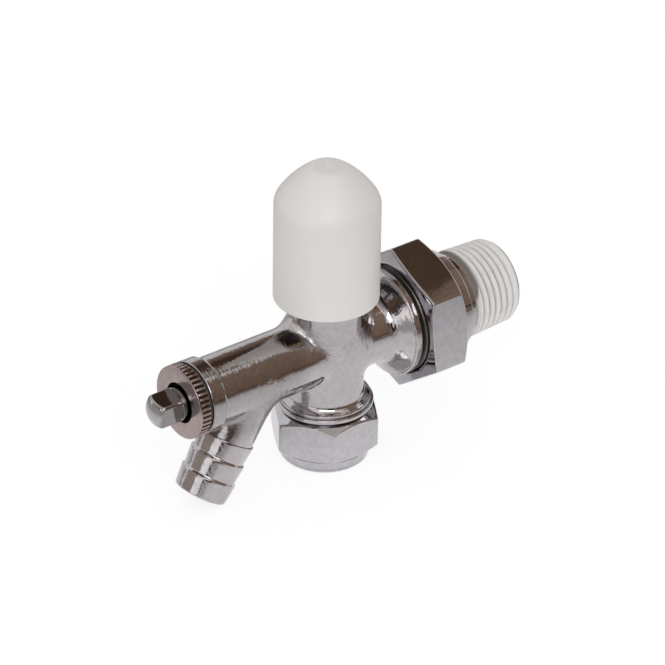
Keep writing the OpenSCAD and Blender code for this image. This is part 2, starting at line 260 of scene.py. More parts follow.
def thread_band(crest, depth, start, stop, pitch, angles, fade=(0.6, 0.6), narrow=0.12):
    """Right-hand thread on a round surface: the crest radius less the depth times a
    rounded zigzag, whose phase is the height over the pitch, less the share of a
    turn. The crest is one radius or (height, radius) points, narrow is the share of
    the zigzag that stays at it, and the groove fades out over a share of the pitch."""
    low, high = min(start, stop), max(start, stop)
    h = np.linspace(start, stop, int((high - low) * 12 / pitch) + 2)[:, None]
    phase = h / pitch - angles[None, :] / (2 * np.pi)
    zigzag = np.abs(2 * (phase - np.floor(phase)) - 1)
    flank = np.clip((zigzag - narrow) / (0.98 - narrow), 0, 1)
    groove = 0.45 * flank + 0.55 * flank * flank * (3 - 2 * flank)
    ease = np.clip((h - low) / (fade[0] * pitch), 0, 1) * np.clip(
        (high - h) / (fade[1] * pitch), 0, 1)
    crest = np.interp(h, *np.array(crest).T) if np.ndim(crest) else crest
    return crest - depth * groove * ease, np.repeat(h, len(angles), 1)


def ring_rows(bands, angles):
    """Rows of points, one ring each: radius times (cosine, sine) and the height, from
    bands of (radius, height). Bands of ready points pass as they are."""
    return np.concatenate([b if isinstance(b, np.ndarray) else np.stack(
        [b[0] * np.cos(angles), b[0] * np.sin(angles), b[1]], -1) for b in bands])


def revolved(bands, angles, place, tip=None):
    """Solid swept round an axis: quads between its rings, and a fan at either end to
    a point on the axis, at the height of the last ring or at a given tip."""
    local = ring_rows(bands, angles)
    rows, sides, _ = local.shape
    number = np.arange(rows * sides).reshape(rows, sides)
    quads = np.stack([number[:-1], np.roll(number[:-1], -1, 1),
                      np.roll(number[1:], -1, 1), number[1:]], -1)
    first, last = number[0], number[-1]
    faces = [quads.reshape(-1, 4),
             np.stack([np.full(sides, rows * sides), np.roll(first, -1), first], -1),
             np.stack([np.full(sides, rows * sides + 1), last, np.roll(last, -1)], -1)]
    ends = local[0, :, 2].mean(), local[-1, :, 2].mean() if tip is None else tip
    poles = np.array([[0, 0, ends[0]], [0, 0, ends[1]]])
    return np.concatenate([local.reshape(-1, 3), poles]) @ place[1].T + place[0], faces


def mesh_of(name, points, faces):
    """Mesh from points in millimetres and arrays of triangles or quads."""
    faces = faces if isinstance(faces, list) else [faces]
    mesh = bpy.data.meshes.new(name)
    corners = np.concatenate([f.ravel() for f in faces]).astype(np.int32)
    sizes = np.concatenate([np.full(len(f), f.shape[1]) for f in faces]).astype(np.int32)
    mesh.vertices.add(len(points))
    mesh.vertices.foreach_set("co", (np.asarray(points) * MM).astype(np.float32).ravel())
    mesh.loops.add(len(corners))
    mesh.loops.foreach_set("vertex_index", corners)
    mesh.polygons.add(len(sizes))
    starts = np.concatenate([[0], np.cumsum(sizes)[:-1]]).astype(np.int32)
    mesh.polygons.foreach_set("loop_start", starts)
    mesh.polygons.foreach_set("loop_total", sizes)
    mesh.polygons.foreach_set("use_smooth", np.ones(len(sizes), bool))
    mesh.update(calc_edges=True)
    mesh.validate()
    return mesh


def machined(mesh, tools):
    """Mesh joined with or cut by a list of (kind, points, faces) solids, in order,
    and freed from the slivers that this leaves."""
    work = bpy.data.objects.new("work", mesh)
    bpy.context.scene.collection.objects.link(work)
    for kind, points, faces in tools:
        tool = bpy.data.objects.new("tool", mesh_of("tool", points, faces))
        bpy.context.scene.collection.objects.link(tool)
        cut = work.modifiers.new("cut", "BOOLEAN")
        cut.operation = kind
        cut.solver = "MANIFOLD"
        cut.object = tool
        view = bpy.context.evaluated_depsgraph_get()
        result = bpy.data.meshes.new_from_object(work.evaluated_get(view))
        work.modifiers.clear()
        work.data = result
        bpy.data.objects.remove(tool)
    result = work.data
    bpy.data.objects.remove(work)
    clean = bmesh.new()
    clean.from_mesh(result)
    bmesh.ops.dissolve_degenerate(clean, edges=clean.edges, dist=0.002 * MM)
    clean.to_mesh(result)
    clean.free()
    return result


def piece(name, mesh, node, body, material, crease=28):
    """Finished piece: edges sharper than the crease angle stay sharp, flats keep flat
    shading, and the piece stands for its CAD node and rides on its body."""
    mesh.name = name
    mesh.materials.clear()
    mesh.materials.append(material)
    mesh.polygons.foreach_set("use_smooth", np.ones(len(mesh.polygons), bool))
    mesh.set_sharp_from_angle(angle=math.radians(crease))
    made = bpy.data.objects.new(name, mesh)
    bpy.context.scene.collection.objects.link(made)
    weigh = made.modifiers.new("flat_shading", "WEIGHTED_NORMAL")
    weigh.mode = "FACE_AREA"
    weigh.keep_sharp = True
    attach(made, body)
    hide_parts(node)
    return made


def feed(tree, made, inputs):
    """Inputs of a node: linked where the value is a socket, else set to it."""
    for key, value in inputs.items():
        if isinstance(value, bpy.types.NodeSocket):
            tree.links.new(value, made.inputs[key])
        else:
            made.inputs[key].default_value = value


def shader(tree, kind, inputs=None, **settings):
    """New shader node of a kind, with its settings and then its inputs."""
    made = tree.nodes.new("ShaderNode" + kind)
    for key, value in settings.items():
        setattr(made, key, value)
    feed(tree, made, inputs or {})
    return made


def ramp(tree, share, stops):
    """Colours along a share of the way, through (position, colour) stops."""
    made = shader(tree, "ValToRGB", {"Fac": share})
    for at, _ in stops[1:-1]:
        made.color_ramp.elements.new(at)
    for element, (at, colour) in zip(made.color_ramp.elements, stops):
        element.position = at
        element.color = tuple(colour) + (1,)
    return made.outputs["Color"]


def blend(tree, share, a, b):
    """Mix of two colours by a share."""
    return shader(tree, "Mix", {"Factor": share, "A": a, "B": tuple(b) + (1,)},
                  data_type="RGBA").outputs["Result"]


def plated(name, tint, polish, peel, waviness, streak=0, dull_and_shade=None, dull_and_shaded_spots=(),
           rough_corners=False):
    """Polished or plated metal whose tone and gloss vary a little in patches, over a
    surface with fine orange peel, a slower waviness left by polishing, and streaks
    that run across the part, rougher where the attribute "corner" says. A colour of
    dull metal, made darker as painted shade, darkens the places where all of a list
    of (axis, from, to) steps have come up, or less where one of them has a top as
    its fourth value, and blurs what it covers well.
    The axes r and s are the distances from the level and the upright axis."""
    material = bpy.data.materials.new(name)
    material.use_nodes = True
    tree = material.node_tree
    place = shader(tree, "TexCoord").outputs["Object"]

    def noise(scale, detail, stretch=None):
        """Smooth random share over the part, stretched along its axes."""
        at = place
        if stretch:
            at = shader(tree, "Mapping", {"Vector": place, "Scale": stretch}).outputs["Vector"]
        return shader(tree, "TexNoise", {
            "Vector": at, "Scale": scale, "Detail": detail}).outputs["Fac"]

    def spread(share, low, high, start=0.3, stop=0.7):
        """The way of a share from start to stop, as a way from low to high."""
        return shader(tree, "MapRange", {
            "Value": share, "From Min": start, "From Max": stop,
            "To Min": low, "To Max": high}).outputs["Result"]

    def both(a, b, operation="MULTIPLY"):
        """Two values multiplied, added, or the larger of them."""
        return shader(tree, "Math", {0: a, 1: b}, operation=operation).outputs[0]

    def bumped(height, distance, under=None):
        """Normal of a relief as high as a share times a distance in millimetres."""
        inputs = {"Strength": 1, "Distance": distance * MM, "Height": height}
        if under:
            inputs["Normal"] = under
        return shader(tree, "Bump", inputs).outputs["Normal"]

    def distance(kept, start=(0, 0, 0)):
        """Length of the shifted place, in the kept directions alone."""
        flat = shader(tree, "Mapping", {"Vector": place, "Location": start, "Scale": kept})
        return shader(tree, "VectorMath", {0: flat.outputs["Vector"]},
                      operation="LENGTH").outputs["Value"]

    gloss = spread(noise(160, 3), *polish)
    colour = ramp(tree, noise(750, 4), [
        (0.34, [0.91 * c for c in tint]), (0.66, [1.04 * c for c in tint])])
    if dull_and_shaded_spots:
        split = shader(tree, "SeparateXYZ", {"Vector": place})
        axes = {"x": split.outputs["X"], "z": split.outputs["Z"],
                "r": distance((0, 1, 1), (0, 0, -AXIS * MM)), "s": distance((1, 1, 0))}
        dull_shade_mask = None
        for spot in dull_and_shaded_spots:
            there = None
            for axis, start, stop, *top in spot:
                step = spread(axes[axis], 0, *(top or [1]), start * MM, stop * MM)
                there = step if there is None else both(there, step)
            dull_shade_mask = there if dull_shade_mask is None else both(dull_shade_mask, there, "MAXIMUM")
        # Painted shade: the listed places blend towards a dark colour of dull metal.
        colour = blend(tree, dull_shade_mask, colour, dull_and_shade)
        gloss = both(gloss, spread(dull_shade_mask, 0, 0.3, 0.4, 1), "ADD")
    normal = bumped(noise(1100, 2), peel)
    if rough_corners:
        missed = shader(tree, "Attribute", attribute_name="corner").outputs["Fac"]
        gloss = both(gloss, spread(missed, 0, 0.25, 0.1, 0.9), "ADD")
        normal = bumped(both(noise(900, 3), missed), 0.3, normal)
    if streak:
        normal = bumped(noise(400, 2, (3.6, 1.2, 1.2)), streak, normal)
    feed(tree, tree.nodes["Principled BSDF"], {
        "Metallic": 1, "Base Color": colour, "Roughness": gloss,
        "Normal": bumped(noise(260, 1), waviness, normal)})
    return material


DULL_SHADED = (0.13, 0.118, 0.104)    # thinly plated, unpolished threads under the nuts, made darker as painted shade
cast_chrome = plated("chrome_on_casting", (0.46, 0.435, 0.445), (0.06, 0.13), 0.014, 0.05,
                     0.055, DULL_SHADED, [
    [("x", 18.95, 19.15)],                         # outlet thread: dull, with painted shade in the gap under the union nut
    [("x", -13, -12), ("z", 14.2, 14.0)],          # spigot thread: dull, with painted shade under the compression nut
    [("x", -9, -14, 0.3), ("z", 15, 19)]],         # drain arm, a little darker
    rough_corners=True)

around = round_angles(128)


def bore(radius, low, high, place, sides=96, mouth=None):
    """Round cutting tool along a piece's own axis, with another radius at its far
    end where it makes a cone."""
    angles = round_angles(sides)
    line = [(radius, low), (radius if mouth is None else mouth, high)]
    return "DIFFERENCE", *revolved([band(line, angles)], angles, place)


def turned(bands, place):
    """Turned solid to be joined to the casting."""
    return "UNION", *revolved(bands, around, place)


BARB_ROOT = 6.38
BARB_CREST = 6.79
BARB_PITCH = 5
BARB_RINGS = 3
CORE_R = 4                     # turned bands start and end inside, at this radius
first_ring = BARB_LENGTH - BARB_RINGS * BARB_PITCH
barb_line = [(BARB_ROOT, first_ring - 0.1, 0)]
for ring in range(BARB_RINGS):
    at = first_ring + ring * BARB_PITCH
    barb_line += [(BARB_CREST, at, 0.07), (BARB_CREST, at + 0.45, 0.25),
                  (BARB_ROOT, at + BARB_PITCH - 0.5, 0.35)]
barb_line[-1] = (BARB_ROOT - 0.04, BARB_LENGTH, 0.4)
barb_line.append((CORE_R, BARB_LENGTH, 0))

spigot = [
    band(rounded([(CORE_R, SPIGOT_END, 0), (9.5, SPIGOT_END, 0.1), (10.3, 6.2, 0.1)]), around),
    thread_band(SPIGOT_R, 1.0, 6.3, 12.6, PITCH, around),
    band(rounded([(SPIGOT_R, 12.8, 0), (9.6, 13.3, 0), (9.6, 14.1, 0.1), (11.5, 14.1, 0.2),
                  (11.5, 15.12, 0.3), (10.72, 15.16, 0.08), (10.72, 15.5, 0.06),
                  (10.98, 15.52, 0.12), (10.92, 15.98, 0.1), (CORE_R, 16.05, 0)]), around)]
outlet = [
    band(rounded([(CORE_R, FLANGE_X - 0.05, 0), (12.9, FLANGE_X - 0.05, 0.05),
                  (13.22, FLANGE_X + 0.25, 0.15), (13.22, FLANGE_X + 1.6, 0.15),
                  (12.3, FLANGE_X + 1.85, 0.12), (12.3, FLANGE_X + 2.2, 0.1),
                  (13.05, FLANGE_X + 2.5, 0)]), around),
    thread_band(OUTLET_R, 1.05, FLANGE_X + 2.5, OUTLET_X - 0.9, PITCH, around, fade=(0.3, 0.6)),
    band(rounded([(13.1, OUTLET_X - 0.8, 0), (12.2, OUTLET_X, 0.1), (CORE_R, OUTLET_X, 0)]),
         around)]
arm_end = band(rounded([(CORE_R, ARM_END - 3.5, 0), (8.93, ARM_END - 3.5, 0.06),
                        (8.95, ARM_END, 0.3), (CORE_R, ARM_END, 0)]), around)
top_r = BARREL_R + 0.01
barrel_top = band(rounded([(CORE_R, BARREL_TOP - 2, 0), (top_r, BARREL_TOP - 2, 0),
                           (top_r, BARREL_TOP, 0.4), (CORE_R, BARREL_TOP, 0)]), around)

tools = [
    turned(spigot, UPRIGHT),
    turned(outlet, RADIATOR),
    turned([arm_end], DRAIN),
    turned([band(rounded(barb_line), around)], BARB),
    turned([barrel_top], UPRIGHT),
    bore(PIPE_R, SPIGOT_END - 0.5, 17.6, UPRIGHT),                     # pipe
    bore(9.35, SPIGOT_END - 0.01, 8.99, UPRIGHT, mouth=PIPE_R),        # olive's cone
    bore(5, 17, 22, UPRIGHT),                                          # main seat
    bore(6.6, 20.5, 38, UPRIGHT),                                      # water way
    bore(7.03, 36.5, BARREL_TOP + 0.5, UPRIGHT),                       # headwork's thread
    bore(5.5, 0, OUTLET_X + 0.5, RADIATOR),                            # to the radiator
    bore(7, OUTLET_X - 2.8, OUTLET_X + 0.01, RADIATOR, mouth=9.6),     # tail's seat
    bore(3, 0, 15, DRAIN),                                             # drain seat
    bore(5.26, 14, ARM_END + 0.5, DRAIN),                              # drain spindle
    bore(6.56, ARM_END - 6, ARM_END + 0.5, DRAIN),                     # gland's thread
    bore(4.25, 0, BARB_LENGTH + 0.5, BARB)]                            # to the hose

points, faces = skin(casting, (-36.6, -13.5, 9.4), (18.2, 13.6, 46.4), CELL)
body_mesh = machined(mesh_of("valve_casting", points, faces), tools)
at = np.empty(len(body_mesh.vertices) * 3, np.float32)
body_mesh.vertices.foreach_get("co", at)
body_mesh.attributes.new("corner", "FLOAT", "POINT").data.foreach_set(
    "value", corner(at.reshape(-1, 3) / MM).astype(np.float32))
piece("valve_casting", body_mesh, "valve_body", "valve", cast_chrome)


# Compression nut. Turned from hexagon bar, both ends chamfered, with a round skirt
# below, and chromed. It screws up over the spigot and squeezes the olive on the pipe.
COMP_AF = 23.6
COMP_TOP = 13.5
COMP_TURN = 1                  # degrees that a corner stands past +X
NUT_THREAD_R = 10.46
TURNED = (0.46, 0.452, 0.468), (0.02, 0.06), 0.002, 0.006     # tint, polish and relief


def hex_angles(corner_at):
    """Angles once round a hexagon, close together beside its corners."""
    beside = np.array([0.3, 0.7, 1.2, 2, 3.2, 5, 7.5, 10.5, 14, 18, 22, 26, 30])
    sector = np.concatenate([[0], beside, 60 - beside[:-1][::-1]])
    every = np.concatenate([sector + 60 * i for i in range(6)])
    return np.radians(every + corner_at)


def hex_radius(across, corner_at, angles):
    """Distance from a hexagon's centre to its side at each angle: half the width
    over the cosine of the angle from the middle of the nearest side."""
    turn = np.mod(np.degrees(angles) - corner_at, 60) - 30
    return across / 2 / np.cos(np.radians(turn))


def edge_rounded(a, b, radius):
    """Two walls given as distances, meeting in a rounded outer edge: the lesser of
    minus the radius and the further distance, plus the length past the radius."""
    return np.minimum(np.maximum(a, b), -radius) + np.hypot(
        np.maximum(a + radius, 0), np.maximum(b + radius, 0))


NEAR_EDGES = np.array([0.02, 0.05, 0.1, 0.2, 0.35, 0.5, 0.65, 0.8, 0.9, 0.95, 0.98])


def hex_band(across, corner_at, low, high, angles, edge=0.22):
    """Outer side of a nut between two chamfers. Each chamfer is a cone through
    (radius, height) with a slope; each row lies a share of the way up a chamfer, up a
    flat, or up the other chamfer, and is then moved on to the rounded solid."""
    flat = hex_radius(across, corner_at, angles)
    (r0, h0, slope0), (r1, h1, slope1) = low, high
    start, stop = h0 + (flat - r0) * slope0, h1 - (flat - r1) * slope1
    shares = np.concatenate([[0], NEAR_EDGES, [1]])[:, None] * np.ones(len(angles))
    radius = np.concatenate([r0 + (flat - r0) * shares, flat + 0 * shares[1:],
                             flat + (r1 - flat) * shares[1:]])
    height = np.concatenate([h0 + (start - h0) * shares, start + (stop - start) * shares[1:],
                             stop + (h1 - stop) * shares[1:]])
    local = np.stack([radius * np.cos(angles), radius * np.sin(angles), height], -1)

    def solid(p):
        """Distance to what three pairs of flats and the two cones share."""
        walls = -1e3
        for side in np.radians(corner_at + np.array([30, 90, 150])):
            wall = np.abs(p[..., 0] * np.cos(side) + p[..., 1] * np.sin(side)) - across / 2
            walls = edge_rounded(walls, wall, edge)
        r = np.hypot(p[..., 0], p[..., 1])
        below = ((r - r0) * slope0 - (p[..., 2] - h0)) / math.hypot(1, slope0)
        above = ((r - r1) * slope1 + (p[..., 2] - h1)) / math.hypot(1, slope1)
        return edge_rounded(edge_rounded(walls, below, edge), above, edge)

    inner = settled(local[1:-1].reshape(-1, 3), solid).reshape(local[1:-1].shape)
    return np.concatenate([local[:1], inner, local[-1:]])


def ring_piece(bands, angles, place):
    """Closed surface from bands, whose last ring joins the first."""
    local = ring_rows(bands, angles)
    rows, sides, _ = local.shape
    number = np.arange(rows * sides).reshape(rows, sides)
    further = np.roll(number, -1, 0)
    quads = np.stack([number, np.roll(number, -1, 1), np.roll(further, -1, 1), further], -1)
    return local.reshape(-1, 3) @ place[1].T + place[0], quads.reshape(-1, 4)


nut_angles = hex_angles(COMP_TURN)
comp_parts = [
    band(rounded([(PIPE_R, 3, 0), (PIPE_R, 0, 0.15), (10.2, 0, 0.1), (10.55, 0.35, 0.4),
                  (11.15, 3.1, 0.1), (10.92, 3.28, 0.05), (10.92, 3.46, 0.05),
                  (11.3, 3.5, 0)])[1:-1], nut_angles),
    hex_band(COMP_AF, COMP_TURN, (11.3, 3.5, 0.52), (10.8, COMP_TOP, 0.56), nut_angles),
    band([(10.55, COMP_TOP), (NUT_THREAD_R, COMP_TOP - 0.1)], nut_angles),
    thread_band(NUT_THREAD_R, 0.95, COMP_TOP - 0.2, 5.2, PITCH, nut_angles),
    band([(NUT_THREAD_R, 4.6), (9.5, 4.5), (8.2, 2.3), (PIPE_R, 2.2)], nut_angles)]
points, faces = ring_piece(comp_parts, nut_angles, UPRIGHT)
nut_chrome = plated("chrome_on_nuts", *TURNED, 0, DULL_SHADED, [
    [("s", 10.75, 10.55), ("z", 0.5, 1.2)],                            # inside this nut: dull threads and painted shade
    [("r", 13.75, 13.55), ("x", 20.2, 20.7), ("x", 32, 31.5)]])        # inside the union nut: dull threads and painted shade
piece("compression_nut_chromed", mesh_of("comp", points, faces), "compression_nut",
      "compression_nut", nut_chrome)


# Union nut. A larger hexagon nut with a flat-chamfered front, a steeper back
# and a turned boss. It hangs on the tail's flange and draws it to the outlet.
UNION_AF = 31.2
UNION_X = 20
UNION_TURN = -7                # degrees that a corner stands past straight down
UNION_THREAD_R = 13.28
union_angles = hex_angles(UNION_TURN)
union_parts = [
    band(rounded([(UNION_THREAD_R, UNION_X + 0.8, 0), (13.75, UNION_X, 0.08),
                  (14.3, UNION_X, 0)]), union_angles),
    hex_band(UNION_AF, UNION_TURN, (14.35, UNION_X + 0.01, 0.17), (13.6, UNION_X + 11.5, 0.572),
             union_angles, edge=0.3),
    band(rounded([(13.55, UNION_X + 11.53, 0), (13.15, UNION_X + 11.8, 0.1),
                  (12.95, UNION_X + 11.82, 0.08), (12.9, UNION_X + 12.4, 0),
                  (12.55, UNION_X + 14.5, 0.6), (11.7, UNION_X + 15.3, 0.3),
                  (10.96, UNION_X + 15.3, 0.12), (10.96, UNION_X + 11, 0.05),
                  (UNION_THREAD_R, UNION_X + 11, 0.05), (UNION_THREAD_R, UNION_X + 10.4, 0)]),
         union_angles),
    thread_band(UNION_THREAD_R, 1.0, UNION_X + 10.3, UNION_X + 0.9, PITCH, union_angles)]
points, faces = ring_piece(union_parts, union_angles, RADIATOR)
piece("union_nut_chromed", mesh_of("union", points, faces), "union_nut",
      "union_nut", nut_chrome)


# Radiator tail. Turned brass with a seating nose, a flange, a collar, a taper
# thread and a hexagon socket in its end for the key that screws it home.
TAIL_END = 51
THREAD_X = 37
KEY_AF = 12
KEY_DEPTH = 10
TAIL_BORE_R = 6
THREAD_ROOT_R = 9.7
COLLAR_R = 10.9


def shaped_band(radii, heights):
    """Rows of given radii, each row at one height."""
    return np.array(radii), np.repeat(np.array(heights)[:, None], len(radii[0]), 1)


tail_angles = hex_angles(0)
key = hex_radius(KEY_AF, 0, tail_angles)
socket = [(0.25, TAIL_END), (0, TAIL_END - 0.3), (0, TAIL_END - KEY_DEPTH + 0.1),
          (-0.02, TAIL_END - KEY_DEPTH)]
socket_band = shaped_band([key + grow for grow, _ in socket], [h for _, h in socket])
tail_parts = [
    band(rounded([(TAIL_BORE_R, OUTLET_X - 2.6, 0), (6.7, OUTLET_X - 2.6, 0.1),
                  (9.3, OUTLET_X + 0.2, 0.2), (9.3, OUTLET_X + 1, 0.1),
                  (12.95, OUTLET_X + 1, 0.25), (12.95, OUTLET_X + 3.3, 0.2),
                  (12.2, OUTLET_X + 3.7, 0.1), (COLLAR_R, OUTLET_X + 3.7, 0.2),
                  (COLLAR_R, THREAD_X - 0.05, 0.22), (THREAD_ROOT_R, THREAD_X, 0.05),
                  (THREAD_ROOT_R, TAIL_END, 0.3), (7.6, TAIL_END, 0)]), tail_angles),
    socket_band,
    band([(TAIL_BORE_R, TAIL_END - KEY_DEPTH - 0.05), (TAIL_BORE_R, OUTLET_X - 2.4)],
         tail_angles)]
points, faces = ring_piece(tail_parts, tail_angles, RADIATOR)
turned_chrome = plated("chrome_on_turned", *TURNED)
piece("radiator_tail_chromed", mesh_of("tail", points, faces), "radiator_tail",
      "tail", turned_chrome)


# Thread seal. A white strip that the taper thread comes wrapped in, pressed into
# it so that the thread shows through as soft ridges. At its start it is thinner.
# Painted shade darkens its grooves and its start, and it is darker over the top at its start.
SEAL_CREST = [(THREAD_X + 0.9, 10.25), (THREAD_X + 1.5, 10.87), (TAIL_END, 10.3)]
SEAL_INNER_R = THREAD_ROOT_R + 0.04


def grain(name, colour, shade, rough, scale, bump, valley=None):
    """Plain moulded or wrapped stuff: a colour that drifts between two near tones,
    with a fine grain in its gloss and its surface. Where the attribute "valley"
    says, the colour blends to a darker one: on the seal, painted shade in its grooves
    and at its start."""
    material = bpy.data.materials.new(name)
    material.use_nodes = True
    tree = material.node_tree
    place = shader(tree, "TexCoord").outputs["Object"]
    cloud, fine = (shader(tree, "TexNoise", {
        "Vector": place, "Scale": size, "Detail": detail}).outputs["Fac"]
        for size, detail in ((scale, 4), (scale * 8, 2)))
    colour = ramp(tree, cloud, [(0.32, shade), (0.68, colour)])
    if valley:
        deep = shader(tree, "Attribute", attribute_name="valley").outputs["Fac"]
        colour = blend(tree, deep, colour, valley)
    gloss = shader(tree, "MapRange", {"Value": fine, "To Min": rough[0], "To Max": rough[1]})
    relief = shader(tree, "Bump", {"Strength": 1, "Distance": bump * MM, "Height": fine})
    feed(tree, tree.nodes["Principled BSDF"], {
        "Base Color": colour, "Roughness": gloss.outputs["Result"],
        "Normal": relief.outputs["Normal"]})
    return material


# The seal's darker colour is painted shade for its grooves and its start.
seal_white = grain("white_thread_strip", (0.84, 0.83, 0.81), (0.76, 0.75, 0.73), (0.5, 0.8),
                   350, 0.03, valley=(0.2, 0.175, 0.155))
seal_angles = round_angles(180)
seal_parts = [
    band(rounded([(SEAL_INNER_R, THREAD_X + 0.35, 0), (10.15, THREAD_X + 0.35, 0.1),
                  (10.2, THREAD_X + 0.85, 0)]), seal_angles),
    thread_band(SEAL_CREST, 0.85, THREAD_X + 0.95, TAIL_END - 1.3, PITCH, seal_angles,
                narrow=0.4, fade=(0.2, 0.3)),
    band(rounded([(10.3, TAIL_END - 1.2, 0), (9.9, TAIL_END - 0.5, 0.3),
                  (SEAL_INNER_R, TAIL_END - 0.45, 0)]), seal_angles)]
points, faces = ring_piece(seal_parts, seal_angles, RADIATOR)
seal_mesh = mesh_of("seal", points, faces)
r, h = along(points, RADIATOR)
above = points[:, 2] - AXIS - 2
# Painted shade: the seal darkens in the thread's grooves and on its sunk start beside the collar;
# it is also darker over the top of its start.
sunk = np.clip((np.interp(h, *np.array(SEAL_CREST).T) - r - 0.3) / 0.5, 0, 1)
sunk = 0.62 * np.maximum(sunk * (h > THREAD_X + 0.95) * (h < TAIL_END - 1.2), h < THREAD_X + 0.9)
dark_top_reach = THREAD_X + 0.75 + 1.7 * np.clip(above / 7, 0, 1)
dark_top = np.clip((dark_top_reach - h) / 0.3, 0, 1) * np.clip(above / 2, 0, 1)
seal_mesh.attributes.new("valley", "FLOAT", "POINT").data.foreach_set(
    "value", np.maximum(sunk, dark_top).astype(np.float32))
piece("thread_seal_white", seal_mesh, "thread_seal", "tail", seal_white, crease=60)


# Drain spindle. Turned brass, chromed: a cup for the rubber disc, a coarse
# thread, a stem with a seal groove, and a square head with a domed end.
STEM_R = 4.1
SQUARE_AF = 6.3
SQUARE_X = 43.6
SPINDLE_TIP = 50.5
DOME_R = 6
CUP_X = 14.9
SQUARE_TURN = -10              # degrees, as the photograph shows the flats
CUP_R = 5
DRAIN_THREAD_R = 5.16
DRAIN_PITCH = 1.5
GROOVE_X = ARM_END - 2.9       # middle of the seal's groove
GROOVE_R = 3.1
GROOVE_HALF = 0.62
beside_corner = np.array([0, 1, 2.5, 4, 5, 6, 7.5, 10, 14, 20, 28, 36])
square_angles = np.radians(np.concatenate([
    np.concatenate([beside_corner, [45], 90 - beside_corner[1:][::-1]]) + 90 * i
    for i in range(4)]) + SQUARE_TURN + 45)


def square_head(angles):
    """Rows of the square head: out along the shoulder, up the flats, over the edge
    and across the dome, moved on to the solid that a square, a rod and a ball share."""
    turn = np.mod(np.degrees(angles) - SQUARE_TURN + 45, 90) - 45
    side = np.minimum(SQUARE_AF / 2 / np.cos(np.radians(turn)), STEM_R - 0.03)
    centre = SPINDLE_TIP - DOME_R
    top = centre + np.sqrt(DOME_R ** 2 - side ** 2)
    shares = np.concatenate([NEAR_EDGES, [1]])[:, None]
    radius = np.concatenate([side + 0 * shares, side * (1 - shares[:-1])])
    height = np.concatenate([SQUARE_X + 0.05 + (top - SQUARE_X - 0.05) * shares,
                             centre + np.sqrt(DOME_R ** 2 - (side * (1 - shares[:-1])) ** 2)])
    local = np.stack([radius * np.cos(angles), radius * np.sin(angles), height], -1)

    def solid(p):
        """Distance to what two pairs of flats, the rod and the ball share."""
        walls = -1e3
        for face in np.radians(SQUARE_TURN + np.array([0, 90])):
            wall = np.abs(p[..., 0] * np.cos(face) + p[..., 1] * np.sin(face)) - SQUARE_AF / 2
            walls = edge_rounded(walls, wall, 0.1)
        rod = np.hypot(p[..., 0], p[..., 1]) - STEM_R
        ball = np.sqrt((p[..., 0] ** 2 + p[..., 1] ** 2 + (p[..., 2] - centre) ** 2)) - DOME_R
        return edge_rounded(edge_rounded(walls, rod, 0.1), ball, 0.22)

    return settled(local.reshape(-1, 3), solid).reshape(local.shape)


spindle_bands = [
    band(rounded([(0.3, CUP_X + 1.6, 0), (4.25, CUP_X + 1.6, 0.1), (4.25, CUP_X, 0.05),
                  (CUP_R, CUP_X, 0.2), (CUP_R, CUP_X + 2.6, 0.2), (3.4, CUP_X + 3.4, 0.2),
                  (3.4, 23.2, 0.2), (5.1, 24, 0)]), square_angles),
    thread_band(DRAIN_THREAD_R, 0.75, 24.1, ARM_END - 8.4, DRAIN_PITCH, square_angles),
    band(rounded([(5.1, ARM_END - 8.25, 0), (STEM_R, ARM_END - 7.85, 0.1),
                  (STEM_R, GROOVE_X - GROOVE_HALF, 0.05), (GROOVE_R, GROOVE_X - GROOVE_HALF, 0.1),
                  (GROOVE_R, GROOVE_X + GROOVE_HALF, 0.1), (STEM_R, GROOVE_X + GROOVE_HALF, 0.05),
                  (STEM_R, SQUARE_X - 0.02, 0.12), (4.02, SQUARE_X, 0)]), square_angles),
    square_head(square_angles)]
points, faces = revolved(spindle_bands, square_angles, DRAIN, tip=SPINDLE_TIP)
spindle_chrome = plated("chrome_on_spindle", *TURNED, 0, (0.07, 0.05, 0.04), [
    [("x", -49.9, -49.2, 0.5)]])                   # painted shade at half strength, on all but the tip of the domed end
piece("drain_spindle_chromed", mesh_of("spindle", points, faces), "drain_spindle",
      "drain_spindle", spindle_chrome)


# Gland nut. A chromed ring with a straight knurl, a smooth rim and a recess
# round the stem. Its threaded shank closes the end of the drain arm.
KNURL_R = 8.95
KNURL_TEETH = 44
KNURL_DEPTH = 0.45
GLAND_HOLE_R = 4.16
SHANK_R = 6.46
SHANK_X = ARM_END - 3.6        # inner end of the threaded shank
HEAD_X = ARM_END + 0.5
FACE_X = HEAD_X + 3.1
tooth = np.array([0.02, 0.12, 0.22, 0.3, 0.38, 0.46, 0.54, 0.62, 0.72, 0.8, 0.88, 0.95])
knurl_angles = ((np.arange(KNURL_TEETH)[:, None] + tooth) * 2 * np.pi / KNURL_TEETH).ravel()
valley = np.tile(np.interp(tooth, [0, 0.22, 0.42, 0.78, 0.98], [1, 1, 0, 0, 1]), KNURL_TEETH)
knurl_rows = [(HEAD_X + 0.25, 0.2), (HEAD_X + 0.32, 0.06), (HEAD_X + 0.45, 0),
              (HEAD_X + 1.3, 0), (HEAD_X + 2.4, 0), (HEAD_X + 2.55, 0.04), (HEAD_X + 2.65, 0.12)]
knurl_band = shaped_band([KNURL_R - np.maximum(KNURL_DEPTH * valley, drop)
                          for _, drop in knurl_rows], [h for h, _ in knurl_rows])
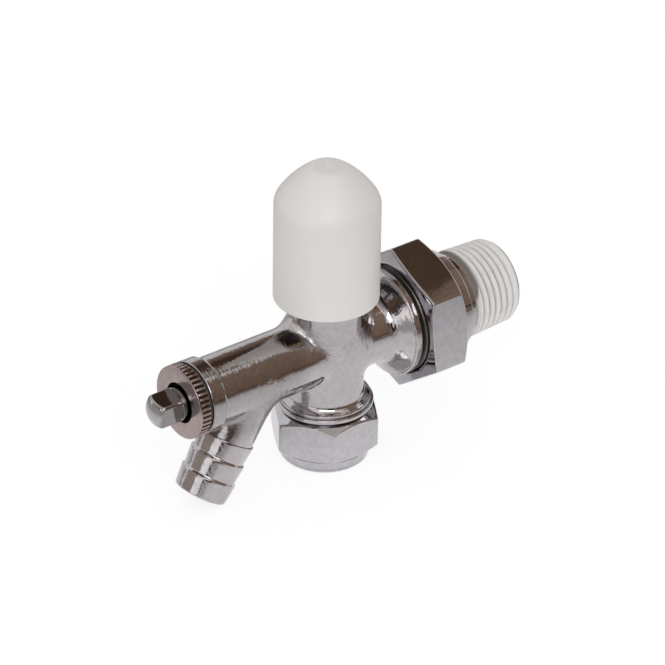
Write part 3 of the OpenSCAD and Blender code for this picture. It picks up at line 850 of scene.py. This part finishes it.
gland_parts = [
    band(rounded([(GLAND_HOLE_R, SHANK_X + 0.1, 0), (GLAND_HOLE_R, SHANK_X, 0),
                  (6.2, SHANK_X, 0.1), (SHANK_R, SHANK_X + 0.3, 0)]), knurl_angles),
    thread_band(SHANK_R, 0.5, ARM_END - 3.25, ARM_END - 0.3, 1.0, knurl_angles),
    band(rounded([(6.4, ARM_END - 0.2, 0), (6.4, HEAD_X, 0.1), (8.3, HEAD_X, 0.1),
                  (8.46, HEAD_X + 0.2, 0)]), knurl_angles),
    knurl_band,
    band(rounded([(8.55, HEAD_X + 2.72, 0), (8.88, HEAD_X + 2.78, 0.04), (8.88, FACE_X, 0.22),
                  (4.95, FACE_X, 0.1), (4.95, FACE_X - 2, 0.05), (GLAND_HOLE_R, FACE_X - 2, 0)]),
         knurl_angles)]
points, faces = ring_piece(gland_parts, knurl_angles, DRAIN)
gland_chrome = plated("chrome_on_knurl", (0.37, 0.305, 0.293), (0.14, 0.24), 0.01, 0.03, 0,
                      (0.065, 0.037, 0.024), [
    [("r", 8.85, 8.6), ("x", -HEAD_X - 2.75, -HEAD_X - 2.6)],          # between the teeth: painted shade
    [("r", 5.15, 4.9), ("x", -FACE_X + 0.1, -FACE_X + 0.6)]])          # recess: painted shade
piece("gland_nut_knurled", mesh_of("gland", points, faces), "drain_gland_nut",
      "gland_nut", gland_chrome, crease=40)


# Cap. Moulded white plastic, open below, that pulls off upwards. A small pip
# in its crown is where the mould was filled.
CAP_R = 12.5
CAP_RIM = 42.9
CAP_TOP = 77.8
DOME_Z = CAP_TOP - 0.25 - CAP_R
CAP_INNER_R = CAP_R - 1.45
CAP_ROOF_R = CAP_INNER_R - 1.1
SHOULDER_R = 4.7               # the outside turns in through a tight shoulder,
FLANK_R = 26                   # a long flank and a tight crown
CROWN_R = 3.3
FLANK_FROM = 33.5
FLANK_TO = 55
shoulder = np.array([CAP_R - SHOULDER_R, CAP_TOP - 10.4])
flank = np.array(arc(*shoulder, SHOULDER_R - FLANK_R, FLANK_FROM, FLANK_FROM, 0)[0])
crown = np.array(arc(*flank, FLANK_R - CROWN_R, FLANK_TO, FLANK_TO, 0)[0])
dome = (arc(*shoulder, SHOULDER_R, 0, FLANK_FROM, 12) + arc(
    *flank, FLANK_R, FLANK_FROM, FLANK_TO, 14)[1:] + arc(
    *crown, CROWN_R, FLANK_TO, 90, 8)[1:])
cap_white = grain("white_moulded_cap", (0.765, 0.745, 0.725), (0.75, 0.73, 0.71),
                  (0.38, 0.5), 60, 0.004)
cap_line = [(0.2, DOME_Z + CAP_ROOF_R)] + arc(0, DOME_Z, CAP_ROOF_R, 88, 0, 16) + rounded([
    (CAP_ROOF_R, 63.5, 0), (CAP_ROOF_R, 63.3, 0.1), (CAP_INNER_R, 62.5, 0.1),
    (CAP_INNER_R, CAP_RIM + 0.5, 0.1), (CAP_INNER_R + 0.35, CAP_RIM, 0.1),
    (CAP_R, CAP_RIM, 0.35), (CAP_R, 50, 0)]) + dome + rounded([
        (2.5, CAP_TOP - 0.2, 0.3), (1.2, CAP_TOP - 0.12, 0.2), (0.75, CAP_TOP - 0.3, 0.15),
        (0.4, CAP_TOP - 0.1, 0.1), (0.15, CAP_TOP, 0)])
points, faces = revolved([band(cap_line, around)], around, UPRIGHT)
piece("cap_moulded", mesh_of("cap", points, faces), "lockshield_cap", "cap",
      cap_white, crease=40)


# Inner pieces. Plain turned brass, black rubber rings and discs, and a pressed
# fibre washer under the headwork.
brass = plated("turned_brass", (0.70, 0.54, 0.31), (0.2, 0.32), 0.004, 0.01)
rubber = grain("black_rubber", (0.05, 0.05, 0.052), (0.035, 0.035, 0.037), (0.5, 0.7), 300, 0.01)
fibre = grain("red_fibre", (0.40, 0.12, 0.08), (0.32, 0.09, 0.06), (0.6, 0.85), 500, 0.02)
for material, names in [
        (brass, ("bonnet", "valve_disc", "washer_nut", "valve_spindle", "olive")),
        (fibre, ("bonnet_washer",)),
        (rubber, ("seat_washer", "spindle_o_ring_lower", "spindle_o_ring_upper",
                  "drain_seat_washer", "drain_o_ring", "drain_gland_washer"))]:
    for name in names:
        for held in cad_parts[name].material_slots:
            held.material = material


# Stage. A pale floor that the nut's rim and the barb's tip both touch, a white
# room, two soft lamps, and the brown and dark things that the chrome mirrors.
RIM_TOUCH = 10.3               # where the floor meets the nut's rim, along +X
FLOOR_SLOPE = 0.0238           # its rise towards the radiator side
FLOOR_HALF = 1500
WORLD_LIGHT = (0.62, 0.61, 0.61)
LOOK_AT = np.array([0, 0, 30.0])


def seen_directly(tree):
    """One for camera, glossy and transmission rays and nought for the rest."""
    rays = shader(tree, "LightPath").outputs
    seen = rays["Is Camera Ray"]
    for ray in ("Is Glossy Ray", "Is Transmission Ray"):
        seen = shader(tree, "Math", {0: seen, 1: rays[ray]}, operation="MAXIMUM").outputs[0]
    return seen


world = bpy.data.worlds.new("white_room")
bpy.context.scene.world = world
world.use_nodes = True
room = world.node_tree
feed(room, room.nodes["Background"], {"Color": WORLD_LIGHT + (1,)})
white = shader(room, "Background", {"Color": (1, 1, 1, 1)})
choose = shader(room, "MixShader", {
    "Fac": seen_directly(room), 1: room.nodes["Background"].outputs["Background"],
    2: white.outputs["Background"]})
feed(room, room.nodes["World Output"], {"Surface": choose.outputs["Shader"]})

floor_white = bpy.data.materials.new("pale_floor")
floor_white.use_nodes = True
tree = floor_white.node_tree
tree.nodes.clear()
camera_ray = shader(tree, "LightPath").outputs["Is Camera Ray"]
far = shader(tree, "VectorMath", {0: shader(tree, "TexCoord").outputs["Object"]},
             operation="LENGTH").outputs["Value"]
# Painted pool of light: reflections and bounced light see the floor brighter than white near the
# valve and dimmer further out.
painted_light_pool = ramp(tree, far, [
    (0.02, (1.5, 1.5, 1.52)), (0.032, (1.3, 1.3, 1.3)), (0.11, (0.93, 0.915, 0.92)),
    (0.15, (0.62, 0.61, 0.62)), (0.5, (0.55, 0.54, 0.54))])
white = blend(tree, camera_ray, painted_light_pool, (1.06, 1.06, 1.06))
share = shader(tree, "Math", {0: seen_directly(tree), 1: 0.15}, operation="MULTIPLY")
share = shader(tree, "Math", {0: camera_ray, 1: 0.65, 2: share.outputs[0]},
               operation="MULTIPLY_ADD")
choose = shader(tree, "MixShader", {
    "Fac": share.outputs[0], 1: shader(tree, "BsdfDiffuse", {"Color": white}).outputs["BSDF"],
    2: shader(tree, "Emission", {"Color": white}).outputs["Emission"]})
shader(tree, "OutputMaterial", {"Surface": choose.outputs["Shader"]})

side = np.array([[-1, -1], [1, -1], [1, 1], [-1, 1]]) * FLOOR_HALF
floor_points = np.column_stack([side, (side[:, 0] - RIM_TOUCH) * FLOOR_SLOPE])
floor = bpy.data.objects.new("floor", mesh_of("floor", floor_points, np.array([[0, 1, 2, 3]])))
floor.data.materials.append(floor_white)
bpy.context.scene.collection.objects.link(floor)
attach(floor, "olive")        # so that a nut let down still stands on it


def screen(name, points, stops):
    """Stage piece that only reflections see: a grid of points whose light changes
    from its first row to its last, given as (share of the way, colour) stops."""
    rows, columns = points.shape[:2]
    number = np.arange(rows * columns).reshape(rows, columns)
    quads = np.stack([number[:-1, :-1], number[:-1, 1:], number[1:, 1:], number[1:, :-1]], -1)
    mesh = mesh_of(name, points.reshape(-1, 3), quads.reshape(-1, 4))
    share = np.repeat(np.linspace(0, 1, rows), columns)[quads.ravel()]
    mesh.uv_layers.new(name="share").data.foreach_set(
        "uv", np.column_stack([share, share]).astype(np.float32).ravel())
    material = bpy.data.materials.new(name)
    material.use_nodes = True
    tree = material.node_tree
    tree.nodes.clear()
    way = shader(tree, "SeparateXYZ", {"Vector": shader(tree, "TexCoord").outputs["UV"]})
    glow = shader(tree, "Emission", {"Color": ramp(tree, way.outputs["X"], stops)})
    shader(tree, "OutputMaterial", {"Surface": glow.outputs["Emission"]})
    mesh.materials.append(material)
    made = bpy.data.objects.new(name, mesh)
    bpy.context.scene.collection.objects.link(made)
    for ray in ("camera", "diffuse", "transmission", "shadow"):
        setattr(made, "visible_" + ray, False)


def ball_patch(azimuth, elevation, reach):
    """Patch of a ball round the valve between two azimuths and two elevations; its
    rows go up from the lower elevation."""
    e, a = np.meshgrid(np.radians(np.linspace(*elevation, 33)),
                       np.radians(np.linspace(*azimuth, 33)), indexing="ij")
    return LOOK_AT + reach * np.stack([
        np.cos(e) * np.cos(a), np.cos(e) * np.sin(a), np.sin(e)], -1)


def laid(x, y, lift):
    """Points laid just above the sloping floor."""
    return np.stack([x, y, (x - RIM_TOUCH) * FLOOR_SLOPE + lift], -1)


out, across = np.meshgrid(np.linspace(150, 950, 41), np.linspace(-900, 900, 3), indexing="ij")
TABLE_WAY = math.radians(-55)
BROWN = (0.13, 0.080, 0.048)
LIGHT_BROWN = (0.36, 0.26, 0.20)
DARK = (0.012, 0.011, 0.012)
screen("table", laid(out * math.cos(TABLE_WAY) - across * math.sin(TABLE_WAY),
                     out * math.sin(TABLE_WAY) + across * math.cos(TABLE_WAY), 0.8),
       [(0, (0.62, 0.59, 0.58)), (0.02, (0.60, 0.56, 0.54)), (0.035, (0.27, 0.20, 0.16)),
        (1, (0.25, 0.18, 0.14))])
for name, azimuth, elevation, reach, stops in [
        ("brown_wall", (-25, 6.3), (24, 64), 600, [(0, LIGHT_BROWN), (1, (0.26, 0.17, 0.12))]),
        ("brown_back", (6.3, 62), (24, 64), 600,
         [(0, (0.36, 0.27, 0.22)), (0.4, (0.22, 0.155, 0.12)), (0.56, (0.09, 0.055, 0.038)),
          (1, BROWN)]),
        ("brown_side", (-66, -25), (-3, 55), 600,
         [(0, DARK), (0.045, DARK), (0.055, (0.27, 0.18, 0.13)), (1, LIGHT_BROWN)]),
        ("brown_front", (-98, -66), (-4, 30), 600,
         [(0, (0.30, 0.22, 0.18)), (1, (0.16, 0.11, 0.08))]),
        ("dark_stand", (-118, -100), (-1, 27), 560, [(0, DARK), (1, DARK)]),
        ("brown_left", (-149, -118), (-2, 10), 600,
         [(0, (0.15, 0.11, 0.09)), (1, (0.12, 0.09, 0.075))]),
        ("grey_left", (140, 189), (-2, 26), 600,
         [(0, (0.48, 0.42, 0.37)), (1, (0.38, 0.32, 0.27))]),
        ("ceiling", (0, 360), (66, 90), 600, [(0, (0.72, 0.66, 0.60)), (1, (0.66, 0.60, 0.55))])]:
    screen(name, ball_patch(azimuth, elevation, reach), stops)


def lamp(name, azimuth, elevation, reach, width, height, glow):
    """Soft lamp that faces the valve, by its own brightness."""
    data = bpy.data.lights.new(name, "AREA")
    data.shape = "RECTANGLE"
    data.size = width
    data.size_y = height
    data.energy = glow * math.pi * width * height
    a, e = math.radians(azimuth), math.radians(elevation)
    back = Vector((math.cos(e) * math.cos(a), math.cos(e) * math.sin(a), math.sin(e)))
    made = bpy.data.objects.new(name, data)
    made.matrix_world = Matrix.Translation(Vector(LOOK_AT * MM) + reach * back) @ (
        back.to_track_quat("Z", "Y").to_matrix().to_4x4())
    bpy.context.scene.collection.objects.link(made)
    return made


lamp("window", 240, 38, 1.3, 0.75, 0.6, 3.3)
lamp("side_window", 192, 8, 1.1, 0.25, 0.5, 2.8).visible_glossy = False
screen("side_window_seen", ball_patch((183, 211), (1, 16), 590),
       [(0, (1.4, 1.4, 1.4)), (1, (1.4, 1.4, 1.4))])
bpy.context.scene.view_settings.view_transform = "Standard"
